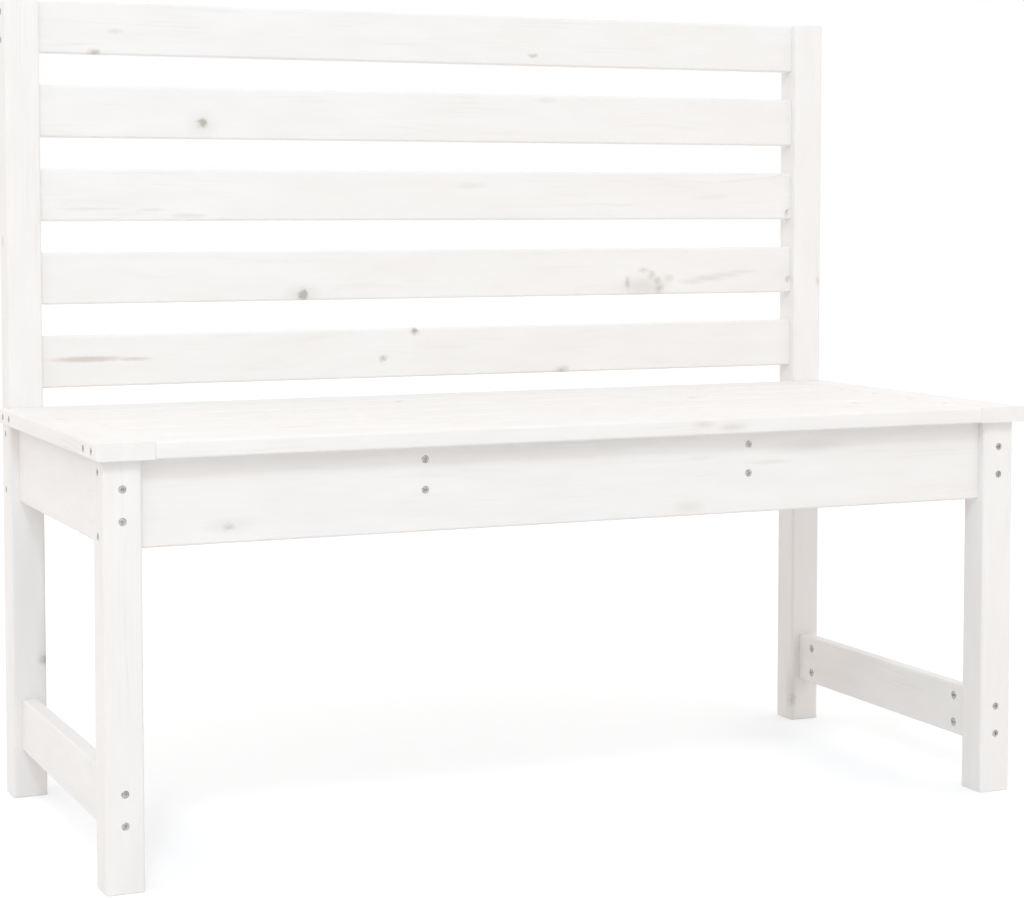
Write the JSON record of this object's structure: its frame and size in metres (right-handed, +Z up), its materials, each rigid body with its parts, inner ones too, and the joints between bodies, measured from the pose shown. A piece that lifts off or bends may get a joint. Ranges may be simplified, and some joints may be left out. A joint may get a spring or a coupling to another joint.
{
  "type": "wooden garden bench",
  "caption": "White painted wooden bench with a framed slatted board seat, a straight open slat back and square legs joined by aprons and low side stretchers.",
  "frame": {"origin": "on the floor, under the middle of the bench's outer box", "axes": "+X to the right as seen from the front along the length of the seat, +Y to the back, +Z up"},
  "size_m": [1.09, 0.48, 0.915],
  "materials": {
    "white_painted_pine": "thin matt white paint that lets grain and knots show",
    "zinc_plated_steel": "satin zinc plating"
  },
  "bodies": {
    "root": {"left_front_leg": "white_painted_pine", "right_front_leg": "white_painted_pine", "left_rear_post": "white_painted_pine", "right_rear_post": "white_painted_pine", "back_slat_1": "white_painted_pine", "back_slat_2": "white_painted_pine", "back_slat_3": "white_painted_pine", "back_slat_4": "white_painted_pine", "back_slat_5": "white_painted_pine", "front_apron": "white_painted_pine", "rear_apron": "white_painted_pine", "left_side_apron": "white_painted_pine", "right_side_apron": "white_painted_pine", "left_stretcher": "white_painted_pine", "right_stretcher": "white_painted_pine", "left_seat_bearer": "white_painted_pine", "right_seat_bearer": "white_painted_pine", "seat_front_board": "white_painted_pine", "seat_board_2": "white_painted_pine", "seat_board_3": "white_painted_pine", "seat_board_4": "white_painted_pine", "seat_board_5": "white_painted_pine", "seat_rear_board": "white_painted_pine", "left_seat_end_board": "white_painted_pine", "right_seat_end_board": "white_painted_pine", "side_apron_bolts": "zinc_plated_steel", "stretcher_bolts": "zinc_plated_steel", "long_apron_bolts": "zinc_plated_steel", "top_slat_bolts": "zinc_plated_steel", "bearer_bolts": "zinc_plated_steel", "seat_corner_screws": "zinc_plated_steel", "seat_board_screws": "zinc_plated_steel", "stretcher_barrel_nuts": "zinc_plated_steel"}
  },
  "joints": []
}
